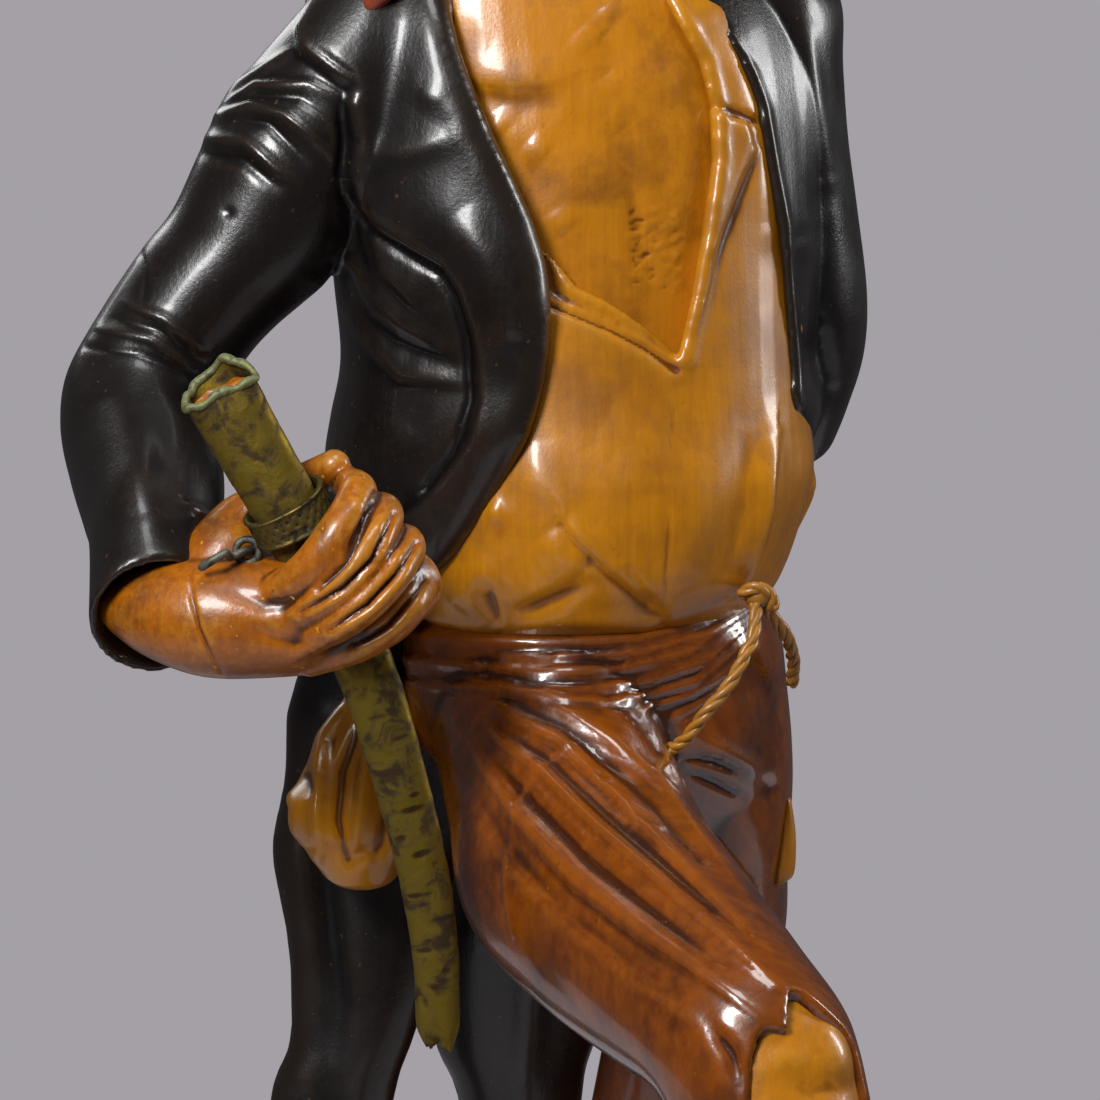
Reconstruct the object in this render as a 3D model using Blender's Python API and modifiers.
"""Freedom fighter statue: a carved and painted wooden figure with a torn brass scabbard, on a low base.

The figure is drawn on a sheet that is seen from VIEW_TURN beside its front. A place on the sheet is
(across, down) in sheet units of half a millimetre, and a depth in millimetres towards the viewer.
In the part's own frame the figure faces -Y and its right hand is at -X. Sculpting is done in
millimetres and each finished piece is brought to metres.
"""

import math
from collections import namedtuple

import bmesh
import bpy
import numpy as np
from mathutils import Matrix, Vector
from mathutils.bvhtree import BVHTree

# Driving dimensions, in millimetres
FIGURE_HEIGHT = 1245.0
BASE_LENGTH = 860.0
BASE_WIDTH = 420.0
BASE_THICKNESS = 50.0
BASE_CORNER = 90.0
BASE_ASIDE = 12.0
BASE_AHEAD = 70.0
SCABBARD_WIDTH = 35.0
SCABBARD_DEPTH = 19.0
SCABBARD_TIP_WIDTH = 20.0
SCABBARD_TIP_DEPTH = 11.0
SCABBARD_WALL = 1.5
COLLAR_HEIGHT = 14.0
COLLAR_WALL = 2.6
COLLAR_PLAY = 1.2
EYE_RADIUS = 5.0
EYE_WIRE = 1.6
TIE_WIRE = 1.8
CLEARANCE = 0.4

# The sheet that the figure is drawn on
DRAWN_HEIGHT = 1245.0
SHEET_UNIT = 0.5
SHEET_CENTRE = 550.0
SHEET_LEVEL = 710.0
VIEW_TURN = math.radians(-28)
VIEW_RISE = math.radians(7)
VIEW_DISTANCE = 2700.0

# How finely the figure is carved, in drawn millimetres
CARVING_CELL = 5.5
STROKE_SPREAD = 1.3
STROKE_DEPTH = 1.6
FIGURE_FACES = 7000
HAND_CELL = 3.0

METRES = 0.001
SHARE = FIGURE_HEIGHT / DRAWN_HEIGHT
ANKLE_RISE = 50.0
ROCK_HALF_WIDTH = 66.0
ROCK_HALF_LENGTH = 112.0
ROCK_FLARE = 0.3
ROCK_AHEAD = 36.0
ROCK_ROOT = 16.0
FOOT_SINK = 4.0
TOE_REACH = 124.0
TOE_STEP = 7.0
TOE_SPREAD = 12.0
ACROSS = Vector((math.cos(VIEW_TURN), math.sin(VIEW_TURN), 0))
NEAR = Vector((math.sin(VIEW_TURN), -math.cos(VIEW_TURN), 0))
UP = Vector((0, 0, 1))

Section = namedtuple("Section", "centre side front square")
Stroke = namedtuple("Stroke", "path width height")


def at(across, depth, height):
    """A place in the part's frame from millimetres across the sheet, towards the viewer and up."""
    return ACROSS * across + NEAR * depth + UP * height


def place(sheet_x, sheet_y, depth):
    """The place that a point of the sheet shows, at a depth towards the viewer."""
    side = (sheet_x - SHEET_CENTRE) * SHEET_UNIT
    rise = (SHEET_CENTRE - sheet_y) * SHEET_UNIT
    reach = VIEW_DISTANCE * math.cos(VIEW_RISE)
    share = (reach - depth) / (reach + rise * math.sin(VIEW_RISE))
    height = VIEW_DISTANCE * math.sin(VIEW_RISE) * (1 - share) + share * rise * math.cos(VIEW_RISE)
    return at(share * side, depth, SHEET_LEVEL + height)


def on_sheet(points):
    """Where points of the part's frame show on the sheet, one row for each."""
    across = points @ np.array(ACROSS)
    depth = points @ np.array(NEAR)
    height = points[:, 2] - SHEET_LEVEL
    towards = depth * math.cos(VIEW_RISE) + height * math.sin(VIEW_RISE)
    above = height * math.cos(VIEW_RISE) - depth * math.sin(VIEW_RISE)
    scale = SHEET_UNIT * (1 - towards / VIEW_DISTANCE)
    return np.stack([SHEET_CENTRE + across / scale, SHEET_CENTRE - above / scale], axis=1)


# Sections of the carved forms


def seen(left, right, depth, thick, square=2.0):
    """A section across a limb whose two edges show on the sheet. Its thickness is set by hand."""
    a, b = place(*left, depth), place(*right, depth)
    return Section((a + b) / 2, (b - a) / 2, thick, square)


def trunk(left, right, down, depth, ratio, square=2.0):
    """A level section of the body between two edges on the sheet, turned with the figure."""
    a, b = place(left, down, depth), place(right, down, depth)
    shown = (b - a).length / 2
    wide = shown / math.hypot(math.cos(VIEW_TURN), ratio * math.sin(VIEW_TURN))
    centre = (a + b) / 2
    return Section(centre, Vector((wide, 0, 0)), Vector((0, wide * ratio, 0)), square)


def ring(centre, wide, deep, turn=0.0, square=2.0):
    """A level section with its own half width and half depth, turned about its centre."""
    turned = Matrix.Rotation(turn, 3, "Z")
    return Section(Vector(centre), turned @ Vector((wide, 0, 0)), turned @ Vector((0, deep, 0)), square)


def spline(values, t):
    """A smooth curve through values, read at t from 0 to len(values) - 1."""
    last = len(values) - 1
    i = min(int(t), last - 1)
    f = t - i
    p0, p1, p2, p3 = (values[min(max(j, 0), last)] for j in range(i - 1, i + 3))
    return 0.5 * (2 * p1 + (p2 - p0) * f + (2 * p0 - 5 * p1 + 4 * p2 - p3) * f**2
                  + (3 * p1 - p0 - 3 * p2 + p3) * f**3)


def rounded(angle, square):
    """A point on a circle that is drawn towards a square as square rises above 2."""
    c, s = math.cos(angle), math.sin(angle)
    return (math.copysign(abs(c) ** (2 / square), c), math.copysign(abs(s) ** (2 / square), s))


def loft(sections, cap=0.5, around=28, between=5):
    """A closed form through sections, with domed ends that stand out by cap times their thickness."""
    last = len(sections) - 1
    centres = [s.centre for s in sections]
    sides = [s.side for s in sections]
    fronts = []
    for i, s in enumerate(sections):
        if isinstance(s.front, Vector):
            fronts.append(s.front)
            continue
        along = centres[min(i + 1, last)] - centres[max(i - 1, 0)]
        fronts.append(along.cross(s.side).normalized() * s.front)
    dome = 5
    rows = last * between + 2 * dome
    bm = bmesh.new()
    bmesh.ops.create_grid(bm, x_segments=around, y_segments=rows, size=0.5)
    for v in bm.verts:
        angle = (v.co.x + 0.5) * math.tau
        row = round((v.co.y + 0.5) * rows) - dome
        t = min(max(row / between, 0), last)
        past = max(-row, row - last * between, 0) / dome
        size = math.cos(past * math.pi / 2)
        centre, side, front = spline(centres, t), spline(sides, t), spline(fronts, t)
        c, s = rounded(angle, spline([x.square for x in sections], t))
        if past:
            end = 0 if row < 0 else last
            away = (centres[end] - centres[1 if end == 0 else last - 1]).normalized()
            centre = centre + away * cap * min(side.length, front.length) * math.sin(past * math.pi / 2)
        v.co = centre + (side * c + front * s) * size
    bmesh.ops.remove_doubles(bm, verts=bm.verts, dist=0.001)
    bmesh.ops.recalc_face_normals(bm, faces=bm.faces)
    return bm


def tube(path, radii, around=16, between=4):
    """A round limb or cord through places in the part's frame."""
    last = len(path) - 1
    sections = []
    for i, point in enumerate(path):
        along = (path[min(i + 1, last)] - path[max(i - 1, 0)]).normalized()
        side = along.cross(NEAR if abs(along.dot(NEAR)) < 0.9 else UP).normalized()
        sections.append(Section(point, side * radii[i], radii[i], 2.0))
    return loft(sections, cap=1.0, around=around, between=between)


def ball(centre, radii, turn=0.0):
    bm = bmesh.new()
    bmesh.ops.create_uvsphere(bm, u_segments=20, v_segments=12, radius=1)
    turned = Matrix.Rotation(turn, 4, "Z") @ Matrix.Diagonal((*radii, 1))
    bmesh.ops.transform(bm, matrix=Matrix.Translation(centre) @ turned, verts=bm.verts)
    return bm


def prism(outline, near, far):
    """A cutter that runs along the line of sight behind an outline on the sheet."""
    bm = bmesh.new()
    corners = [bm.verts.new(place(x, y, far)) for x, y in outline]
    made = bmesh.ops.extrude_face_region(bm, geom=[bm.faces.new(corners)])
    moved = [v for v in made["geom"] if isinstance(v, bmesh.types.BMVert)]
    shown = on_sheet(np.array([v.co for v in moved]))
    for v, (x, y) in zip(moved, shown):
        v.co = place(x, y, near)
    bmesh.ops.recalc_face_normals(bm, faces=bm.faces)
    return bm


# From forms to meshes


def as_object(name, bm):
    mesh = bpy.data.meshes.new(name)
    bm.to_mesh(mesh)
    bm.free()
    obj = bpy.data.objects.new(name, mesh)
    bpy.context.scene.collection.objects.link(obj)
    return obj


def joined(name, forms):
    whole = bmesh.new()
    for form in forms:
        part = bpy.data.meshes.new("form")
        form.to_mesh(part)
        form.free()
        whole.from_mesh(part)
        bpy.data.meshes.remove(part)
    return as_object(name, whole)


def settle(obj):
    """Replaces an object's mesh by the result of its modifiers."""
    bpy.context.view_layer.update()
    graph = bpy.context.evaluated_depsgraph_get()
    mesh = bpy.data.meshes.new_from_object(obj.evaluated_get(graph))
    old = obj.data
    obj.modifiers.clear()
    obj.data = mesh
    bpy.data.meshes.remove(old)
    return obj


def boolean(obj, cutter, operation="DIFFERENCE"):
    cut = obj.modifiers.new("cut", "BOOLEAN")
    cut.operation = operation
    cut.object = cutter
    settle(obj)
    bpy.data.objects.remove(cutter)
    return obj


def fused(name, forms, cell=CARVING_CELL, smoothing=3):
    """One closed skin over overlapping forms."""
    obj = joined(name, forms)
    remesh = obj.modifiers.new("skin", "REMESH")
    remesh.mode = "VOXEL"
    remesh.voxel_size = cell
    smooth = obj.modifiers.new("soften", "SMOOTH")
    smooth.factor = 0.5
    smooth.iterations = smoothing
    return settle(obj)


def one_body(obj):
    """Drops crumbs and sealed hollows, so that only the largest body stays."""
    bm = bmesh.new()
    bm.from_mesh(obj.data)
    bodies, left = [], set(bm.verts)
    while left:
        body, edge = set(), {left.pop()}
        while edge:
            body |= edge
            edge = {e.other_vert(v) for v in edge for e in v.link_edges} - body
        left -= body
        bodies.append(body)
    bodies.sort(key=len)
    for body in bodies[:-1]:
        bmesh.ops.delete(bm, geom=list(body), context="VERTS")
    bm.to_mesh(obj.data)
    bm.free()
    return obj


def arrays(mesh):
    points = np.empty(len(mesh.vertices) * 3)
    mesh.vertices.foreach_get("co", points)
    normals = np.empty(len(mesh.vertices) * 3)
    mesh.vertex_normals.foreach_get("vector", normals)
    return points.reshape(-1, 3), normals.reshape(-1, 3)


def distance_to_path(points, path):
    """The distance of each sheet point to a line of straight runs, and how far along it is, 0 to 1."""
    best = np.full(len(points), 1e9)
    share = np.zeros(len(points))
    runs = len(path) - 1
    for i in range(runs):
        a, b = np.array(path[i], float), np.array(path[i + 1], float)
        along = np.clip((points - a) @ (b - a) / ((b - a) @ (b - a)), 0, 1)
        away = np.linalg.norm(points - a - along[:, None] * (b - a), axis=1)
        nearer = away < best
        best[nearer] = away[nearer]
        share[nearer] = (i + along[nearer]) / runs
    return best, share


def carve(obj, strokes):
    """Raises ridges and sinks grooves along strokes, on the side that the sheet shows."""
    mesh = obj.data
    points, normals = arrays(mesh)
    shown = on_sheet(points)
    facing = np.clip((normals @ np.array(NEAR) + 0.1) * 3, 0, 1)
    height = np.zeros(len(points))
    for stroke in strokes:
        away, share = distance_to_path(shown, stroke.path)
        wide = stroke.width * STROKE_SPREAD / SHEET_UNIT
        profile = np.exp(-((away / wide) ** 2)) - 0.3 * np.exp(-((away / wide - 1.6) ** 2) * 3)
        ends = np.sqrt(np.clip(np.sin(np.pi * np.clip(share, 0.04, 0.96)), 0, 1))
        height += stroke.height * STROKE_DEPTH * profile * ends * facing
    points += normals * height[:, None]
    mesh.vertices.foreach_set("co", points.ravel())
    mesh.update()
    return obj


def inside(points, outline):
    """How far each sheet point is inside an outline, negative outside, in sheet units."""
    closed = [*outline, outline[0]]
    away, _ = distance_to_path(points, closed)
    within = np.zeros(len(points), bool)
    for (ax, ay), (bx, by) in zip(closed, closed[1:]):
        if ay == by:
            continue
        spans = (points[:, 1] > min(ay, by)) & (points[:, 1] <= max(ay, by))
        reach = ax + (points[:, 1] - ay) * (bx - ax) / (by - ay)
        within ^= spans & (points[:, 0] < reach)
    return np.where(within, away, -away)


def raise_field(obj, outline, height, edge=6.0, nearest=-1e9):
    """Lifts the surface inside an outline of the sheet by height, with a short slope at its edge."""
    mesh = obj.data
    points, normals = arrays(mesh)
    facing = (normals @ np.array(NEAR) > 0.05) & (points @ np.array(NEAR) > nearest)
    depth = inside(on_sheet(points), outline) / edge
    lift = height * np.clip(depth + 0.5, 0, 1) * facing
    points += normals * lift[:, None]
    mesh.vertices.foreach_set("co", points.ravel())
    mesh.update()
    return obj


# The body under the clothes


def torso():
    return loft([
        trunk(505, 650, -130, 0, 0.95),
        trunk(480, 680, -90, 0, 0.75),
        trunk(400, 780, -30, 0, 0.58),
        trunk(386, 800, 60, 0, 0.70),
        trunk(396, 800, 160, 2, 0.76),
        trunk(416, 795, 300, 5, 0.76),
        trunk(430, 785, 450, 5, 0.72),
        trunk(432, 770, 600, 5, 0.74),
    ])


FACE_HALF = 1.2
HEAD = at(22, 6, 1163)


def head():
    x, y, z = HEAD
    skull = loft([
        ring((x, y - 22, z - 84), 20, 18),
        ring((x, y - 17, z - 70), 35, 36),
        ring((x, y - 9, z - 48), 46, 52),
        ring((x, y - 3, z - 22), 52, 62),
        ring((x, y, z + 8), 55, 66),
        ring((x, y + 2, z + 38), 55, 67),
        ring((x, y + 4, z + 60), 47, 58),
        ring((x, y + 4, z + 75), 28, 36),
    ], cap=0.3)
    neck = loft([
        ring((x, y + 14, z - 150), 52, 46),
        ring((x, y + 12, z - 120), 40, 40),
        ring((x, y + 8, z - 90), 37, 39),
        ring((x, y + 8, z - 55), 38, 42),
    ])
    nose = tube([Vector((x, y - 62, z + 2)), Vector((x, y - 72, z - 14)), Vector((x, y - 76, z - 28)),
                 Vector((x, y - 66, z - 34))], [6, 7, 9, 8])
    shares = (-1, -0.5, 0, 0.5, 1)
    brow = tube([Vector((x + 34 * s, y - 58 + 9 * abs(s), z + 8 - 4 * abs(s))) for s in shares],
                [6, 8, 7, 8, 6])
    lips = [ball((x, y - 64, z - 49), (15, 8, 4)), ball((x, y - 62, z - 57), (12, 8, 5))]
    chin = ball((x, y - 52, z - 73), (15, 13, 11))
    eyes = [ball((x + s * 21, y - 49, z - 7), (12, 11, 8)) for s in (-1, 1)]
    ears = [ball((x + s * 56, y + 8, z - 14), (5, 11, 20), s * 0.3) for s in (-1, 1)]
    return [skull, neck, nose, brow, chin, *lips, *eyes, *ears]


def hair():
    """Short wavy hair: a cap of overlapping locks over the top, back and sides of the head."""
    x, y, z = HEAD
    cap = loft([
        ring((x, y + 22, z - 62), 42, 38),
        ring((x, y + 20, z - 30), 57, 58),
        ring((x, y + 14, z + 10), 62, 66),
        ring((x, y + 5, z + 42), 62, 74),
        ring((x, y + 4, z + 68), 52, 62),
        ring((x, y + 4, z + 82), 30, 38),
    ], cap=0.3)
    locks = [cap]
    for row, (rise, reach, count) in enumerate(((-40, 52, 9), (-8, 64, 11), (26, 66, 13), (58, 56, 13))):
        first = FACE_HALF if rise < 20 else 0.0
        for i in range(count):
            share = (i + 0.5 * (row % 2)) / count
            turn = math.pi / 2 + (share - 0.5) * (math.tau - 2 * first)
            out = Vector((math.cos(turn), math.sin(turn), 0))
            spot = Vector((x, y + 7, z + rise)) + Vector((out.x * reach * 0.88, out.y * reach, 0))
            wave = out.cross(UP) * 12
            bend = [spot + wave * 0.5 + UP * 15, spot + out * 5 - wave * 0.2, spot - wave * 0.4 - UP * 17]
            locks.append(tube(bend, [7, 9, 5], around=8, between=2))
    return locks


def lower_leg(knee, ankle, foot_turn):
    """Shin, calf and bare foot from a knee to an ankle, with the toes turned to foot_turn."""
    fall = ankle - knee
    toes = Vector((math.sin(foot_turn), -math.cos(foot_turn), 0))
    side = Vector((math.cos(foot_turn), math.sin(foot_turn), 0))
    shin = loft([
        Section(knee, side * 30, toes * 32, 2.0),
        Section(knee + fall * 0.18 - toes * 4, side * 34, toes * 37, 2.0),
        Section(knee + fall * 0.35 - toes * 8, side * 39, toes * 42, 2.0),
        Section(knee + fall * 0.6 - toes * 5, side * 34, toes * 37, 2.0),
        Section(knee + fall * 0.85, side * 24, toes * 28, 2.0),
        Section(ankle, side * 25, toes * 31, 2.0),
        Section(ankle - UP * 25, side * 24, toes * 34, 2.0),
    ])
    sole = ankle - UP * (ANKLE_RISE + FOOT_SINK)
    foot = loft([
        Section(sole - toes * 46 + UP * 22, side * 20, UP * 21, 2.4),
        Section(sole - toes * 24 + UP * 24, side * 25, UP * 24, 2.4),
        Section(sole + toes * 20 + UP * 27, side * 27, UP * 27, 2.3),
        Section(sole + toes * 62 + UP * 18, side * 33, UP * 18, 2.4),
        Section(sole + toes * 98 + UP * 12, side * 36, UP * 12, 2.4),
        Section(sole + toes * 112 + UP * 10, side * 33, UP * 10, 2.4),
    ])
    tips = []
    for i in range(5):
        tip = sole + toes * (TOE_REACH - TOE_STEP * i) + side * (TOE_SPREAD * (i - 2)) + UP * 10
        tips.append(ball(tip, (9 - i * 0.8, 15, 10), foot_turn))
    return [shin, foot, *tips]


RIGHT_KNEE = at(112, 262, 478)
RIGHT_ANKLE = at(112, 262, 175)
LEFT_KNEE = at(33, -143, 322)
LEFT_ANKLE = at(-44, -286, 50)


def right_hand():
    """The fist that grips the scabbard: the palm, four folded fingers and the thumb behind."""
    palm = loft([
        seen((146, 572), (136, 640), 168, 25),
        seen((170, 558), (162, 660), 182, 28),
        seen((208, 556), (204, 676), 192, 30),
        seen((262, 556), (258, 678), 196, 30),
        seen((325, 548), (335, 670), 196, 30),
        seen((366, 520), (392, 645), 188, 28),
        seen((392, 545), (420, 615), 178, 24),
    ])
    fingers = [
        tube([place(264, 600, 212), place(308, 570, 226), place(340, 530, 226), place(358, 494, 210),
              place(348, 484, 186)], [8, 9.5, 10, 9.5, 8]),
        tube([place(276, 626, 214), place(330, 592, 229), place(366, 550, 228), place(384, 516, 206),
              place(374, 508, 182)], [8, 9.5, 10, 9.5, 8]),
        tube([place(290, 648, 214), place(348, 616, 228), place(388, 577, 224), place(406, 547, 202),
              place(396, 540, 178)], [8, 9.5, 10, 9.5, 8]),
        tube([place(310, 660, 206), place(366, 641, 214), place(407, 604, 210), place(419, 582, 190),
              place(408, 574, 168)], [8, 8.5, 9.5, 9.5, 8]),
    ]
    web = tube([place(206, 590, 184), place(236, 545, 178), place(252, 516, 172), place(275, 505, 172)],
               [22, 20, 14, 11])
    thumb = tube([place(256, 512, 172), place(296, 488, 174), place(322, 474, 182), place(334, 466, 188)],
                 [12, 10, 9, 8])
    heel = ball(place(415, 602, 184), (9, 9, 9))
    wrist = tube([place(162, 608, 172), place(157, 576, 160), place(154, 540, 144)], [19, 19, 20])
    return [palm, *fingers, web, thumb, heel, wrist]


def left_hand():
    """The other hand, closed and resting against the back of the coat."""
    along = (place(650, 560, -120) - place(716, 500, -108)).normalized()
    back = -NEAR
    side = along.cross(back).normalized()
    middle = place(640, 569, -128)

    def spot(a, b, c):
        return middle + along * a + side * b + back * c

    palm = loft([
        Section(spot(-22, 0, -2), side * 22, back * 15, 2.0),
        Section(spot(0, 0, 0), side * 29, back * 17, 2.2),
        Section(spot(22, 0, 0), side * 31, back * 16, 2.2),
    ])
    fingers = [tube([spot(20, b, -2), spot(34, b, 8), spot(25, b, 21), spot(8, b, 23), spot(2, b, 14)],
                    [8.5, 8.5, 8, 7.5, 7]) for b in (-23, -8, 7, 22)]
    thumb = tube([spot(-14, -24, 2), spot(2, -24, 18), spot(14, -12, 28), spot(17, 3, 29)], [10, 9, 8, 7])
    return [palm, *fingers, thumb]


# The clothes


def shirt():
    """The loose shirt, bloused over the belt."""
    body = loft([
        trunk(445, 712, -70, 0, 0.62),
        trunk(384, 798, 0, 0, 0.64),
        trunk(374, 808, 60, 0, 0.70),
        trunk(384, 808, 160, 2, 0.77),
        trunk(400, 808, 300, 5, 0.80),
        trunk(406, 810, 400, 8, 0.82),
        trunk(400, 815, 470, 10, 0.86),
        trunk(400, 800, 530, 12, 0.88),
        trunk(404, 782, 575, 12, 0.88),
        trunk(416, 760, 608, 10, 0.84),
    ], cap=0.25)
    hem = loft([
        seen((785, 796), (791, 797), -20, 6),
        seen((776, 834), (797, 832), -20, 8),
        seen((771, 868), (797, 862), -20, 8),
        seen((774, 886), (795, 876), -20, 6),
    ], cap=0.15)
    corner = tube([place(797, 446, -6), place(808, 485, -6), place(786, 532, -6)], [4, 4.5, 5])
    return [body, hem, corner]


def pouch():
    """The shirt's tail that bags out behind the right hip."""
    return [loft([
        seen((352, 690), (430, 690), -8, 16),
        seen((326, 732), (425, 735), -6, 27),
        seen((296, 785), (420, 790), -4, 36),
        seen((297, 830), (415, 835), -4, 38),
        seen((318, 862), (402, 864), -6, 32),
    ], cap=0.5)]


def trousers():
    hips = loft([
        trunk(418, 768, 590, 4, 0.78),
        trunk(408, 782, 640, 3, 0.80),
        trunk(410, 790, 700, 0, 0.80),
        trunk(440, 794, 760, -6, 0.76),
        trunk(520, 790, 820, -22, 0.70),
    ])
    right_thigh = loft([
        seen((412, 655), (640, 700), 18, 66),
        seen((432, 735), (662, 748), 48, 66),
        seen((447, 815), (690, 805), 86, 64),
        seen((462, 905), (722, 856), 128, 62),
        seen((520, 970), (764, 908), 180, 58),
        seen((598, 1036), (810, 965), 228, 54),
        seen((655, 1090), (850, 1020), 262, 52),
        seen((682, 1150), (870, 1100), 270, 50),
    ])
    left_thigh = loft([
        seen((610, 690), (788, 690), -30, 66),
        seen((630, 770), (793, 770), -38, 64),
        seen((632, 850), (788, 850), -52, 62),
        seen((622, 930), (784, 930), -72, 60),
        seen((604, 1040), (752, 1040), -95, 56),
        seen((582, 1150), (715, 1150), -118, 50),
        seen((550, 1290), (676, 1290), -142, 50),
        seen((520, 1400), (640, 1400), -168, 50),
    ])
    right_shin = loft([
        Section(RIGHT_KNEE + at(-16, 4, 30), ACROSS * 44, 50.0, 2.0),
        Section(RIGHT_KNEE + at(-13, 0, -18), ACROSS * 46, 51.0, 2.0),
        Section(RIGHT_KNEE + at(-3, -4, -70), ACROSS * 50, 52.0, 2.0),
        Section(RIGHT_KNEE + at(0, -8, -140), ACROSS * 52, 54.0, 2.0),
        Section(RIGHT_KNEE + at(2, -4, -200), ACROSS * 50, 50.0, 2.0),
    ], cap=0.2)
    sash = loft([
        trunk(418, 766, 596, 4, 0.80),
        trunk(406, 780, 628, 4, 0.84),
        trunk(406, 786, 664, 2, 0.83),
        trunk(418, 786, 694, 0, 0.78),
    ])
    return [hips, right_thigh, left_thigh, right_shin, sash]


def knee_skin():
    """The bare knee that shows through the torn trouser leg."""
    leg = loft([
        seen((604, 1034), (804, 969), 226, 50.5),
        seen((661, 1090), (845, 1023), 260, 48.5),
        seen((687, 1148), (865, 1101), 268, 47.0),
        seen((690, 1200), (866, 1180), 268, 46.0),
    ])
    return [leg, ball(place(806, 1072, 282), (22, 21, 28))]
    return [ball(place(808, 1074, 284), (33, 33, 42))]


COAT_OPENING = (
    (436, 0), (447, 50), (459, 84), (480, 135), (501, 179), (520, 221), (533, 261), (538, 299),
    (538, 333), (533, 379), (519, 431), (498, 473), (470, 516), (446, 550), (428, 562), (440, 620),
    (820, 620), (840, 470), (813, 459), (800, 430), (792, 407), (788, 316), (781, 228), (769, 165),
    (760, 105), (746, 67), (725, 32), (694, 0), (660, -60), (640, -130), (500, -130), (440, -60),
)
COAT_BELOW = (
    (428, 562), (392, 640), (330, 690), (280, 760), (240, 1500), (900, 1500), (900, 480), (813, 459),
    (700, 540),
)


def coat_body():
    """The coat round the body, open in front from the collar to the waist and cut away below."""
    body = loft([
        trunk(470, 690, -105, -8, 0.80),
        trunk(410, 760, -60, -6, 0.62),
        trunk(366, 800, -10, -2, 0.62),
        trunk(346, 818, 60, 0, 0.70),
        trunk(334, 824, 160, 0, 0.75),
        trunk(334, 824, 260, 0, 0.78),
        trunk(342, 822, 350, -2, 0.78),
        trunk(326, 806, 450, -6, 0.76),
        trunk(322, 772, 560, -12, 0.76),
        trunk(330, 752, 640, -26, 0.68),
        trunk(350, 742, 700, -46, 0.58),
    ], cap=0.2, around=40, between=7)
    coat = as_object("coat_body", body)
    boolean(coat, as_object("opening", prism(COAT_OPENING, 320, 8)))
    boolean(coat, as_object("below", prism(COAT_BELOW, 320, -34)))
    bm = bmesh.new()
    bm.from_mesh(coat.data)
    bpy.data.objects.remove(coat)
    return bm


def right_sleeve():
    sleeve = loft([
        seen((330, -25), (450, 75), 34, 44),
        seen((262, 53), (392, 175), 44, 46),
        seen((222, 102), (356, 236), 48, 47),
        seen((197, 156), (328, 280), 50, 46),
        seen((172, 210), (303, 303), 52, 45),
        seen((143, 247), (276, 326), 54, 44),
        seen((104, 305), (250, 354), 56, 44),
        seen((68, 372), (226, 392), 62, 44),
        seen((60, 425), (213, 432), 78, 43),
        seen((69, 473), (224, 474), 104, 42),
        seen((82, 519), (223, 510), 132, 41),
        seen((92, 562), (219, 534), 152, 41),
        seen((97, 648), (223, 582), 184, 38),
    ], cap=0.05)
    return sleeve


def cuff_hollow():
    """The dark open end of the sleeve round the wrist."""
    return loft([
        seen((116, 598), (202, 558), 166, 28),
        seen((109, 643), (211, 588), 184, 31),
        seen((108, 680), (216, 620), 203, 34),
        seen((108, 728), (218, 666), 226, 36),
    ], cap=0.1)


def left_sleeve():
    upper = loft([
        seen((668, -20), (812, -45), -28, 48),
        seen((694, 10), (841, 0), -34, 50),
        seen((712, 70), (843, 62), -38, 50),
        seen((728, 140), (848, 135), -44, 50),
        seen((736, 210), (857, 205), -50, 49),
        seen((738, 290), (867, 290), -58, 48),
        seen((732, 350), (864, 348), -66, 47),
        seen((728, 404), (848, 398), -76, 44),
        seen((726, 434), (834, 434), -82, 40),
    ], cap=0.3)
    fore = tube([place(775, 376, -84), place(738, 430, -98), place(700, 492, -108), place(648, 554, -110)],
                [40, 38, 36, 34])
    return [upper, fore]


def shoulder():
    """What fills the hollow between the right sleeve and the chest under the lapel."""
    return tube([place(412, -20, 40), place(402, 36, 46), place(386, 82, 50), place(378, 122, 50),
                 place(366, 162, 46), place(350, 210, 36)], [27, 29, 30, 29, 28, 22])


def yoke():
    """The coat over the tops of the shoulders and down behind both armpits."""
    over = tube([place(392, 20, 24), place(440, -40, 4), place(490, -80, -14), place(580, -92, -20),
                 place(670, -80, -30), place(716, -50, -34), place(738, -25, -34)],
                [44, 40, 36, 34, 36, 40, 46])
    right = tube([place(400, 10, -4), place(392, 90, -12), place(380, 170, -10)], [34, 34, 28])
    left = tube([place(744, -10, -44), place(742, 70, -50), place(748, 160, -58)], [34, 33, 28])
    return [over, right, left]


def tails():
    right = loft([
        seen((330, 590), (520, 590), -66, 34),
        seen((290, 700), (492, 700), -74, 27),
        seen((288, 775), (478, 775), -74, 23),
        seen((272, 850), (462, 850), -72, 21),
        seen((291, 950), (440, 950), -68, 21),
        seen((294, 1034), (415, 1034), -66, 21),
        seen((270, 1100), (394, 1100), -66, 21),
        seen((262, 1280), (368, 1280), -68, 20),
        seen((278, 1440), (346, 1440), -72, 16),
    ], cap=0.4)
    left = loft([
        seen((500, 590), (770, 590), -72, 34),
        seen((480, 720), (735, 720), -94, 27),
        seen((450, 830), (690, 830), -112, 22),
        seen((430, 940), (640, 940), -126, 20),
        seen((436, 1040), (594, 1045), -138, 20),
        seen((458, 1100), (582, 1100), -142, 20),
        seen((484, 1260), (566, 1260), -150, 18),
        seen((492, 1400), (548, 1400), -156, 15),
    ], cap=0.4)
    return [right, left]


def collar():
    """The coat's turned collar behind the neck, and the kerchief end over it."""
    x, y, z = HEAD
    band = tube([Vector((x - 62, y - 34, z - 140)), Vector((x - 58, y + 10, z - 112)),
                 Vector((x - 34, y + 42, z - 100)), Vector((x, y + 52, z - 97)),
                 Vector((x + 34, y + 42, z - 100)),
                 Vector((x + 58, y + 10, z - 112)), Vector((x + 62, y - 34, z - 140))],
                [14, 15, 15, 15, 15, 15, 14])
    return [band]


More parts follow.
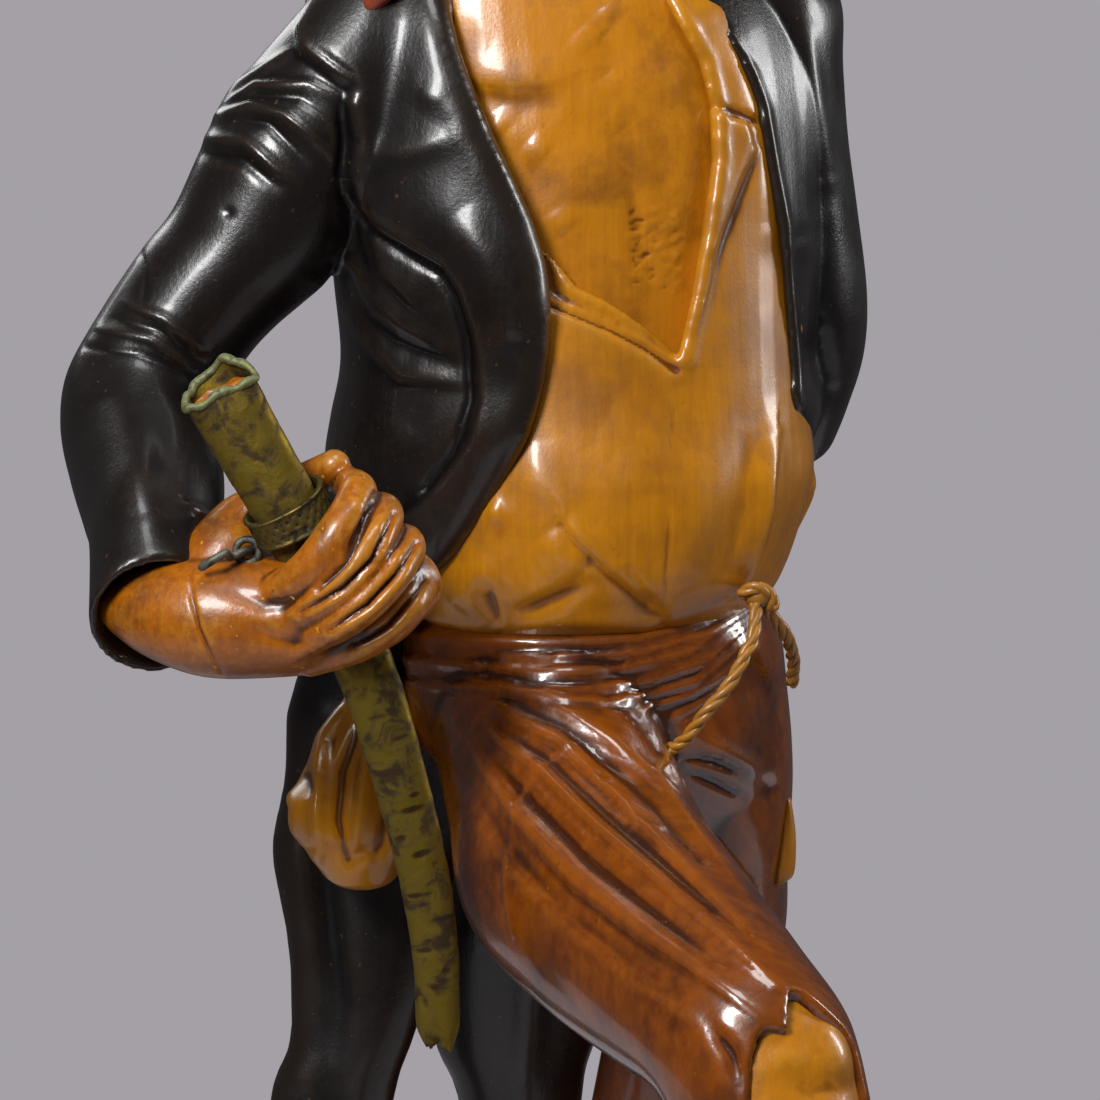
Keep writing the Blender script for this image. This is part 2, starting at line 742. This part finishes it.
def kerchief():
    x, y, z = HEAD
    loop = [Vector((x + 48 * math.sin(a), y + 6 - 50 * math.cos(a), z - 112 + 10 * math.cos(a) * -1))
            for a in (math.radians(30 * k) for k in range(13))]
    knot = ball((x - 10, y - 50, z - 124), (13, 10, 12))
    start = Vector((x - 14, y - 52, z - 128))
    end = tube([start, place(428, -60, 78), place(392, -22, 82), place(372, 4, 80)], [9, 9, 8, 5])
    return [tube(loop, [11] * 13, around=10, between=2), knot, end]


ROPE_ENDS = (
    ((756, 606, 72), (752, 640, 84), (732, 680, 92), (704, 716, 94), (680, 744, 88), (664, 751, 80)),
    ((764, 606, 66), (784, 632, 52), (793, 658, 34), (792, 682, 20)),
)
ROPE_RADIUS = 4.2


def rope():
    """The rope belt's knot at the left hip with its two hanging ends."""
    ends = [tube([place(*p) for p in path], [ROPE_RADIUS] * len(path), around=8, between=3)
            for path in ROPE_ENDS]
    knot = ball(place(758, 596, 66), (11, 11, 9))
    return [*ends, knot]


# Carving: strokes on the sheet, with their half widths and heights in millimetres

COAT_FOLDS = (
    Stroke(((222, 100), (240, 84), (257, 74), (292, 50)), 4, 3),
    Stroke(((219, 108), (257, 84), (308, 82), (347, 101)), 4, 3),
    Stroke(((219, 114), (250, 104), (285, 113), (335, 154)), 4, 4),
    Stroke(((232, 120), (268, 122), (306, 162)), 4, -3),
    Stroke(((203, 137), (246, 142), (277, 170), (300, 182)), 4, 4),
    Stroke(((128, 306), (164, 321), (200, 351)), 4, 4),
    Stroke(((102, 331), (150, 341), (194, 370)), 4, 4),
    Stroke(((86, 348), (138, 354), (194, 378)), 4, -4),
    Stroke(((341, 112), (345, 140), (342, 171)), 4, -5),
    Stroke(((346, 176), (354, 236), (376, 290)), 6, -4),
    Stroke(((372, 222), (385, 270), (424, 312)), 6, 4),
    Stroke(((344, 250), (375, 310), (434, 346)), 6, 4),
    Stroke(((352, 322), (400, 376), (462, 384)), 6, 3),
    Stroke(((447, 214), (486, 256), (508, 302), (514, 349)), 13, 5),
    Stroke(((300, 720), (300, 820), (310, 960), (300, 1080)), 8, 4),
    Stroke(((540, 900), (530, 1000), (525, 1100)), 9, 4),
    Stroke(((800, 20), (812, 100), (826, 180)), 6, 4),
    Stroke(((800, 240), (812, 330), (830, 390)), 7, -4),
)
LAPEL = (
    (300, 30), (302, 54), (348, 86), (351, 93), (347, 103), (350, 118), (354, 139), (353, 160),
    (349, 175), (350, 194), (357, 207), (379, 225), (417, 252), (445, 268), (459, 290), (468, 316),
    (473, 330), (479, 365), (479, 403), (470, 438), (446, 473), (421, 502), (407, 516), (430, 575),
    (560, 420), (560, 250), (480, 60), (440, -40), (340, -40),
)
SHIRT_FOLDS = (
    Stroke(((564, 513), (580, 536), (604, 560), (632, 586), (653, 607)), 8, 5),
    Stroke(((545, 532), (564, 555), (585, 570)), 9, 4),
    Stroke(((588, 585), (552, 600), (513, 618)), 5, -4),
    Stroke(((489, 588), (494, 606), (501, 627)), 5, -4),
    Stroke(((452, 588), (474, 606), (496, 622)), 7, 4),
    Stroke(((622, 560), (640, 590), (664, 616)), 6, -4),
    Stroke(((776, 430), (770, 470), (766, 510), (747, 583)), 7, 6),
    Stroke(((752, 424), (742, 500), (722, 586)), 9, -4),
    Stroke(((436, 570), (466, 582), (500, 566)), 8, 4),
)
CHEST_OPENING = (
    (500, 240), (540, 268), (590, 320), (640, 340), (680, 362), (692, 300), (705, 230), (715, 160),
    (712, 110), (700, 60), (665, 0), (640, -100), (500, -120), (400, -60), (400, 120),
)
RIGHT_FLAP = (
    (680, 362), (705, 230), (715, 160), (712, 110), (716, 100), (748, 116), (762, 126), (748, 165),
    (733, 215), (710, 275), (690, 330),
)
LEFT_FLAP = (
    (536, 240), (560, 248), (548, 282), (596, 300), (640, 328), (680, 362), (640, 346), (590, 326),
    (536, 300),
)
CHEST_FORMS = (
    Stroke(((449, 61), (480, 80), (512, 85), (540, 83), (564, 77)), 8, 4),
    Stroke(((598, 10), (606, 50), (612, 110)), 8, -3),
    Stroke(((634, 82), (672, 78), (696, 50)), 10, 3),
    Stroke(((596, 150), (570, 190), (556, 236)), 12, 3),
    Stroke(((612, 130), (628, 190), (650, 290)), 8, -2.5),
)
HAND_FOLDS = (
    Stroke(((318, 590), (344, 562), (366, 520), (375, 494)), 2.4, -4),
    Stroke(((300, 612), (344, 590), (375, 560), (394, 514)), 2.4, -4),
    Stroke(((330, 630), (368, 606), (398, 574), (417, 543)), 2.4, -4),
    Stroke(((356, 644), (388, 626), (412, 598), (424, 580)), 2.4, -4),
)
TROUSER_FOLDS = (
    Stroke(((408, 630), (470, 641), (560, 641), (640, 638), (700, 622), (754, 594)), 4, 3),
    Stroke(((404, 657), (470, 665), (540, 671), (620, 667), (690, 650), (750, 610)), 4, 3),
    Stroke(((414, 682), (500, 690), (570, 697), (640, 695), (696, 680), (750, 636)), 4, 3),
    Stroke(((489, 672), (545, 678), (602, 690), (638, 714), (663, 747)), 5, -4),
    Stroke(((500, 690), (560, 710), (610, 742), (660, 788), (700, 838), (738, 888)), 6, 3),
    Stroke(((500, 714), (556, 742), (604, 785), (650, 836), (704, 890), (764, 950)), 6, 3),
    Stroke(((494, 738), (545, 778), (596, 830), (655, 882), (715, 934), (778, 988)), 6, 4),
    Stroke(((486, 752), (534, 806), (590, 862), (652, 912), (716, 962)), 5, -3),
    Stroke(((478, 764), (520, 824), (575, 884), (640, 934), (704, 978), (760, 1018)), 7, 4),
    Stroke(((690, 758), (716, 762), (743, 772)), 5, -4),
    Stroke(((690, 772), (716, 784), (743, 797)), 5, -4),
    Stroke(((700, 738), (735, 758), (768, 772)), 6, 4),
    Stroke(((785, 700), (770, 760), (780, 840)), 6, -4),
)
KNEE_TEAR = (
    (792, 990), (790, 1012), (789, 1031), (765, 1028), (758, 1036), (754, 1052), (748, 1070), (748, 1150),
    (871, 1150), (865, 1100), (858, 1072), (853, 1052), (843, 1032), (824, 1014), (805, 997),
)


def mesh_copy(obj):
    bm = bmesh.new()
    bm.from_mesh(obj.data)
    return bm


def figure():
    """The whole carved figure in one piece, with a finish for each painted area."""
    skin = fused("skin", [torso(), *head(), *lower_leg(LEFT_KNEE, LEFT_ANKLE, math.radians(35)),
                          *lower_leg(RIGHT_KNEE, RIGHT_ANKLE, math.radians(0))])
    carve(skin, CHEST_FORMS)
    shirt_form = fused("shirt", shirt())
    raise_field(shirt_form, CHEST_OPENING, -14)
    raise_field(shirt_form, RIGHT_FLAP, 6)
    raise_field(shirt_form, LEFT_FLAP, 6)
    carve(shirt_form, SHIRT_FOLDS)
    legs = fused("trousers", trousers())
    carve(legs, TROUSER_FOLDS)
    raise_field(legs, KNEE_TEAR, -7, nearest=150)
    sleeve = as_object("sleeve", right_sleeve())
    boolean(sleeve, as_object("hollow", cuff_hollow()))
    cuffed = mesh_copy(sleeve)
    bpy.data.objects.remove(sleeve)
    coat = fused("coat", [coat_body(), cuffed, *left_sleeve(), shoulder(), *yoke(), *tails(), *collar()])
    raise_field(coat, LAPEL, 9, nearest=20)
    carve(coat, COAT_FOLDS)
    hair_form = fused("hair", hair(), smoothing=1)
    fist = fused("fist", right_hand(), cell=HAND_CELL)
    carve(fist, HAND_FOLDS)
    areas = {
        "Tinted skin": joined("bare", [mesh_copy(skin), *knee_skin()]),
        "Stained hand": joined("hands", [mesh_copy(fist), *left_hand()]),
        "Golden shirt": joined("linen", [mesh_copy(shirt_form), *pouch()]),
        "Brown trousers": legs,
        "Black coat": coat,
        "Gilded rope": joined("rope", rope()),
        "Red kerchief": joined("kerchief", kerchief()),
        "Dark hair": hair_form,
    }
    for obj in (skin, shirt_form, fist):
        bpy.data.objects.remove(obj)
    whole = one_body(fused("figure", [mesh_copy(obj) for obj in areas.values()], smoothing=1))
    thin = whole.modifiers.new("thin", "DECIMATE")
    thin.ratio = min(1, FIGURE_FACES / (2 * len(whole.data.polygons)))
    settle(whole)
    return whole, areas


def paint(obj, areas):
    """Gives each face the finish of the painted area that it lies nearest to."""
    trees = []
    for name, area in areas.items():
        obj.data.materials.append(material(name, *FINISHES[name]))
        bm = mesh_copy(area)
        trees.append(BVHTree.FromBMesh(bm))
        bm.free()
        bpy.data.objects.remove(area)
    for face in obj.data.polygons:
        away = [tree.find_nearest(face.center)[3] for tree in trees]
        face.material_index = away.index(min(away))


# The scabbard, its collar and the wire

SCABBARD_PATH = (
    (216, 385, 208), (254, 452, 206), (292, 518, 204), (330, 595, 200), (368, 676, 194), (399, 776, 186),
    (424, 876, 178), (436, 960, 172), (438, 1045, 166),
)
COLLAR_AT = 1.93
SCABBARD_STEPS = 4
SCABBARD_SIDES = 16


def drawn(size):
    """A real size of the metal parts, in the figure's drawn millimetres."""
    return size / SHARE


def scabbard_sections(grow=0.0, first=0.0, last=None):
    """Sections of the sheath, with its sides moved out by grow."""
    path = [place(*p) for p in SCABBARD_PATH]
    last = len(path) - 1 if last is None else last
    count = max(round((last - first) * SCABBARD_STEPS / 2), 1)
    sections = []
    for i in range(count + 1):
        t = first + (last - first) * i / count
        share = t / (len(path) - 1)
        step = 0.05
        along = spline(path, min(t + step, len(path) - 1)) - spline(path, max(t - step, 0))
        side = NEAR.cross(along).normalized()
        wide = drawn(SCABBARD_WIDTH + (SCABBARD_TIP_WIDTH - SCABBARD_WIDTH) * share)
        deep = drawn(SCABBARD_DEPTH + (SCABBARD_TIP_DEPTH - SCABBARD_DEPTH) * share)
        front = along.cross(side).normalized()
        sections.append(Section(spline(path, t), side * (wide / 2 + grow), front * (deep / 2 + grow), 2.3))
    return sections


def open_loft(sections, around):
    """An open sleeve through sections, one ring of vertices for each."""
    bm = bmesh.new()
    bmesh.ops.create_grid(bm, x_segments=around, y_segments=len(sections) - 1, size=0.5)
    for v in bm.verts:
        angle = (v.co.x + 0.5) * math.tau
        s = sections[round((v.co.y + 0.5) * (len(sections) - 1))]
        c, d = rounded(angle, s.square)
        v.co = s.centre + s.side * c + s.front * d
    bmesh.ops.remove_doubles(bm, verts=bm.verts, dist=0.001)
    bmesh.ops.recalc_face_normals(bm, faces=bm.faces)
    return bm


def ragged(bm, sections):
    """Tears both open ends: the rim is bent out, in and along in uneven waves."""
    first, last = sections[0], sections[-1]
    along = (sections[1].centre - first.centre).normalized()
    down = (last.centre - sections[-2].centre).normalized()
    for v in bm.verts:
        if not v.is_boundary:
            continue
        top = (v.co - first.centre).length < (v.co - last.centre).length
        end = first if top else last
        away = v.co - end.centre
        turn = math.atan2(away.dot(end.front.normalized()), away.dot(end.side.normalized()))
        wave = math.sin(2 * turn + 0.6) + 0.5 * math.sin(5 * turn)
        v.co += (along if top else down) * wave * (3.0 if top else 2.0)
        v.co += (v.co - end.centre) * 0.05 * math.sin(3 * turn)
    return bm


def walled(name, sections, around, wall, tear=False):
    """A hollow sleeve whose wall lies half in and half out of its sections."""
    bm = open_loft(sections, around)
    shell = as_object(name, ragged(bm, sections) if tear else bm)
    thick = shell.modifiers.new("wall", "SOLIDIFY")
    thick.thickness = wall
    thick.offset = 0
    return settle(shell)


def scabbard():
    wall = drawn(SCABBARD_WALL)
    return walled("scabbard", scabbard_sections(-wall / 2), SCABBARD_SIDES, wall, tear=True)


def band_sections(grow):
    """The collar's lower edge, middle and upper edge, with its sides moved out from the sheath's."""
    path = [place(*p) for p in SCABBARD_PATH]
    pace = (spline(path, COLLAR_AT + 0.1) - spline(path, COLLAR_AT - 0.1)).length / 0.2
    half = drawn(COLLAR_HEIGHT) / 2 / pace
    return [scabbard_sections(grow, t, t + 0.1)[0] for t in (COLLAR_AT - half, COLLAR_AT, COLLAR_AT + half)]


def eye_place():
    """The eye's centre, just outside the band on the wrist side."""
    band = band_sections(drawn(COLLAR_PLAY + COLLAR_WALL))[2]
    outward = band.side.normalized()
    if outward.dot(ACROSS) > 0:
        outward = -outward
    return band.centre + outward * (band.side.length + drawn(EYE_RADIUS))


def scabbard_ring():
    """The collar: a band with clearance to the sheath, and a small eye at its lower edge."""
    wall = drawn(COLLAR_WALL)
    band = walled("scabbard_ring", band_sections(drawn(COLLAR_PLAY) + wall / 2), SCABBARD_SIDES + 4, wall)
    eye = bmesh.new()
    bmesh.ops.create_circle(eye, segments=8, radius=drawn(EYE_WIRE))
    bmesh.ops.translate(eye, verts=eye.verts, vec=(drawn(EYE_RADIUS), 0, 0))
    bmesh.ops.spin(eye, geom=eye.edges[:], cent=(0, 0, 0), axis=(0, 1, 0), angle=math.tau, steps=14,
                   use_merge=True)
    bmesh.ops.recalc_face_normals(eye, faces=eye.faces)
    turned = Matrix((ACROSS, UP, NEAR)).transposed().to_4x4() @ Matrix.Rotation(math.pi / 2, 4, "X")
    bmesh.ops.transform(eye, matrix=Matrix.Translation(eye_place()) @ turned, verts=eye.verts)
    return boolean(band, as_object("eye", eye), "UNION")


def ring_wire(grow=0.0):
    """A short soft wire from the eye over the wrist."""
    start = eye_place()
    path = [start + at(0, -3, 0), start + at(0, 3, 0), start + at(-7, 8, -3), place(224, 553, 224),
            place(212, 563, 226), place(202, 566, 224)]
    return as_object("ring_wire", tube(path, [drawn(TIE_WIRE) + grow] * len(path), around=8, between=3))


def grip_cutters():
    """The room that the fist leaves for the sheath, its collar, the eye and the wire."""
    gap = drawn(CLEARANCE)
    sheath = loft(scabbard_sections(gap), cap=0.2, around=SCABBARD_SIDES, between=2)
    outer = band_sections(drawn(COLLAR_PLAY + COLLAR_WALL) + gap)
    along = (outer[2].centre - outer[0].centre).normalized() * gap
    ends = (outer[0]._replace(centre=outer[0].centre - along), outer[1],
            outer[2]._replace(centre=outer[2].centre + along))
    collar_room = loft(ends, cap=0.01, around=SCABBARD_SIDES, between=2)
    eye_room = ball(eye_place(), [drawn(EYE_RADIUS + EYE_WIRE) + gap] * 3)
    return [as_object("sheath_room", sheath), as_object("collar_room", collar_room),
            as_object("eye_room", eye_room), ring_wire(gap)]


# The base


def base():
    """A low board with rounded corners and an uneven carved rock for the forward foot."""
    board = bmesh.new()
    bmesh.ops.create_cube(board, size=1)
    bmesh.ops.scale(board, vec=(BASE_WIDTH, BASE_LENGTH, BASE_THICKNESS), verts=board.verts)
    upright = [e for e in board.edges if abs((e.verts[0].co - e.verts[1].co).z) > BASE_THICKNESS / 2]
    bmesh.ops.bevel(board, geom=upright, offset=BASE_CORNER, segments=6, profile=0.5, affect="EDGES",
                    clamp_overlap=True)
    middle = (RIGHT_ANKLE + LEFT_ANKLE) / 2 * SHARE
    spot = (middle.x + BASE_ASIDE, middle.y - BASE_AHEAD, -BASE_THICKNESS / 2)
    bmesh.ops.translate(board, vec=spot, verts=board.verts)
    made = to_metres(as_object("base", board))
    return boolean(made, to_metres(rock(), SHARE), "UNION")


def rock():
    """The rock under the forward foot, from its top down into the board."""
    sole = RIGHT_ANKLE - UP * ANKLE_RISE
    toes = Vector((0, -1, 0))
    middle = sole + toes * ROCK_AHEAD
    stone = bmesh.new()
    bmesh.ops.create_cone(stone, segments=22, cap_ends=True, radius1=1, radius2=1, depth=2)
    upright = [e for e in stone.edges if abs((e.verts[0].co - e.verts[1].co).z) > 1]
    bmesh.ops.subdivide_edges(stone, edges=upright, cuts=5)
    for v in stone.verts:
        turn = math.atan2(v.co.y, v.co.x)
        low = (1 - v.co.z) / 2
        ledge = 0.10 * math.sin(2.5 * math.tau * low + 2 * math.sin(turn))
        rough = 1 + 0.05 * math.sin(3 * turn + 1) + 0.04 * math.sin(5 * turn + 4 * low)
        rough += ledge * low * (1 - low) * 2
        wide = (1 + ROCK_FLARE * low) * rough
        v.co.x = middle.x + math.cos(turn) * ROCK_HALF_WIDTH * wide
        v.co.y = middle.y + math.sin(turn) * ROCK_HALF_LENGTH * wide
        v.co.z = middle.z - low * (middle.z + ROCK_ROOT)
    return as_object("rock", stone)


# Finishes and assembly

FINISHES = {
    "Tinted skin": ((0.58, 0.30, 0.06), 0.32),
    "Stained hand": ((0.42, 0.13, 0.02), 0.32),
    "Golden shirt": ((0.60, 0.26, 0.02), 0.30),
    "Brown trousers": ((0.15, 0.025, 0.006), 0.28),
    "Black coat": ((0.012, 0.009, 0.007), 0.28),
    "Gilded rope": ((0.52, 0.27, 0.05), 0.45),
    "Red kerchief": ((0.25, 0.02, 0.015), 0.35),
    "Dark hair": ((0.03, 0.015, 0.008), 0.4),
    "Patinated brass": ((0.22, 0.15, 0.03), 0.45, 0.8),
    "Dark brass": ((0.12, 0.10, 0.03), 0.5, 0.8),
    "Soft grey wire": ((0.10, 0.10, 0.08), 0.55, 0.6),
    "Dark base wood": ((0.05, 0.022, 0.010), 0.45),
}


def material(name, colour, roughness, metallic=0.0):
    made = bpy.data.materials.new(name)
    made.use_nodes = True
    shader = made.node_tree.nodes["Principled BSDF"]
    shader.inputs["Base Color"].default_value = (*colour, 1)
    shader.inputs["Roughness"].default_value = roughness
    shader.inputs["Metallic"].default_value = metallic
    return made


def to_metres(obj, share=1.0):
    """Brings sculpted millimetres to metres, times the figure's share of its drawn height."""
    obj.data.transform(Matrix.Scale(METRES * share, 4))
    return obj


def stand_on(carved, stand):
    """Cuts the soles flat, just clear of the base."""
    lifted = bpy.data.objects.new("lifted", stand.data.copy())
    lifted.data.transform(Matrix.Translation((0, 0, CLEARANCE * METRES)))
    bpy.context.scene.collection.objects.link(lifted)
    return boolean(carved, lifted)


def centred(objects):
    """Moves all pieces so that the origin is under the middle of the whole, at its lowest level."""
    points = np.concatenate([arrays(obj.data)[0] for obj in objects])
    low, high = points.min(axis=0), points.max(axis=0)
    shift = Vector((-(low[0] + high[0]) / 2, -(low[1] + high[1]) / 2, -low[2]))
    for obj in objects:
        obj.data.transform(Matrix.Translation(shift))


def finish(obj, collection, angle=math.radians(40)):
    obj.data.shade_smooth()
    obj.data.set_sharp_from_angle(angle=angle)
    for other in obj.users_collection:
        other.objects.unlink(obj)
    collection.objects.link(obj)


def build():
    for obj in list(bpy.data.objects):
        bpy.data.objects.remove(obj)
    carved, areas = figure()
    paint(carved, areas)
    for cutter in grip_cutters():
        boolean(carved, cutter)
    one_body(to_metres(carved, SHARE))
    metal = {"Patinated brass": scabbard(), "Dark brass": scabbard_ring(), "Soft grey wire": ring_wire()}
    for name, obj in metal.items():
        to_metres(obj, SHARE)
        obj.data.materials.append(material(name, *FINISHES[name]))
    stand = base()
    stand.data.materials.append(material("Dark base wood", *FINISHES["Dark base wood"]))
    stand_on(carved, stand)
    pieces = [carved, *metal.values(), stand]
    centred(pieces)
    collection = bpy.data.collections.new("freedom_fighter_statue")
    bpy.context.scene.collection.children.link(collection)
    for obj in pieces:
        finish(obj, collection)


build()
